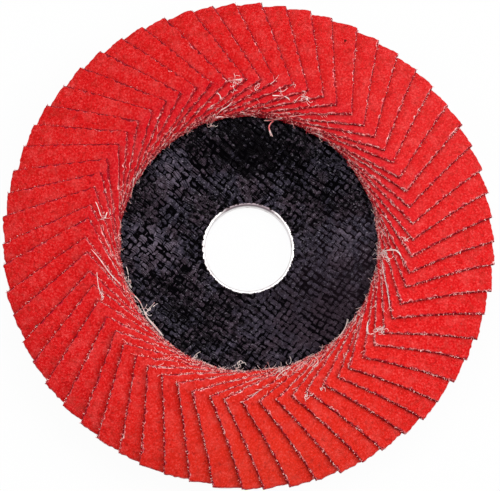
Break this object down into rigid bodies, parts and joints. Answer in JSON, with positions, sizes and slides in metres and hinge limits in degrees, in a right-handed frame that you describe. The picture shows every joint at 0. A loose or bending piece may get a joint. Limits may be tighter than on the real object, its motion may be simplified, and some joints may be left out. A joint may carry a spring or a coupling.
{
  "type": "flap disc",
  "caption": "Round grinding disc of overlapping abrasive cloth flaps on a depressed-centre glass-fibre plate, with a steel-lined bore.",
  "frame": {"origin": "centre of the bore on the back clamping face of the steel centre ring", "axes": "+Z along the bore axis, out of the working side with the flaps; +X and +Y in the clamping face"},
  "size_m": [0.1256, 0.1256, 0.0188],
  "materials": {
    "ring_steel": "pressed bright steel",
    "glass_fibre_laminate": "black woven glass-fibre cloth in resin",
    "cured_adhesive": "cured brown resin",
    "abrasive_cloth": "red resin-bonded ceramic grit on cloth"
  },
  "bodies": {
    "root": {"centre_ring": "ring_steel", "backing_plate": "glass_fibre_laminate", "adhesive_ring": "cured_adhesive", "flap_pair_01": "abrasive_cloth", "flap_pair_02": "abrasive_cloth", "flap_pair_03": "abrasive_cloth", "flap_pair_04": "abrasive_cloth", "flap_pair_05": "abrasive_cloth", "flap_pair_06": "abrasive_cloth", "flap_pair_07": "abrasive_cloth", "flap_pair_08": "abrasive_cloth", "flap_pair_09": "abrasive_cloth", "flap_pair_10": "abrasive_cloth", "flap_pair_11": "abrasive_cloth", "flap_pair_12": "abrasive_cloth", "flap_pair_13": "abrasive_cloth", "flap_pair_14": "abrasive_cloth", "flap_pair_15": "abrasive_cloth", "flap_pair_16": "abrasive_cloth", "flap_pair_17": "abrasive_cloth", "flap_pair_18": "abrasive_cloth", "flap_pair_19": "abrasive_cloth", "flap_pair_20": "abrasive_cloth", "flap_pair_21": "abrasive_cloth", "flap_pair_22": "abrasive_cloth", "flap_pair_23": "abrasive_cloth", "flap_pair_24": "abrasive_cloth", "flap_pair_25": "abrasive_cloth", "flap_pair_26": "abrasive_cloth", "flap_pair_27": "abrasive_cloth", "flap_pair_28": "abrasive_cloth", "flap_pair_29": "abrasive_cloth", "flap_pair_30": "abrasive_cloth", "flap_pair_31": "abrasive_cloth"}
  },
  "joints": []
}
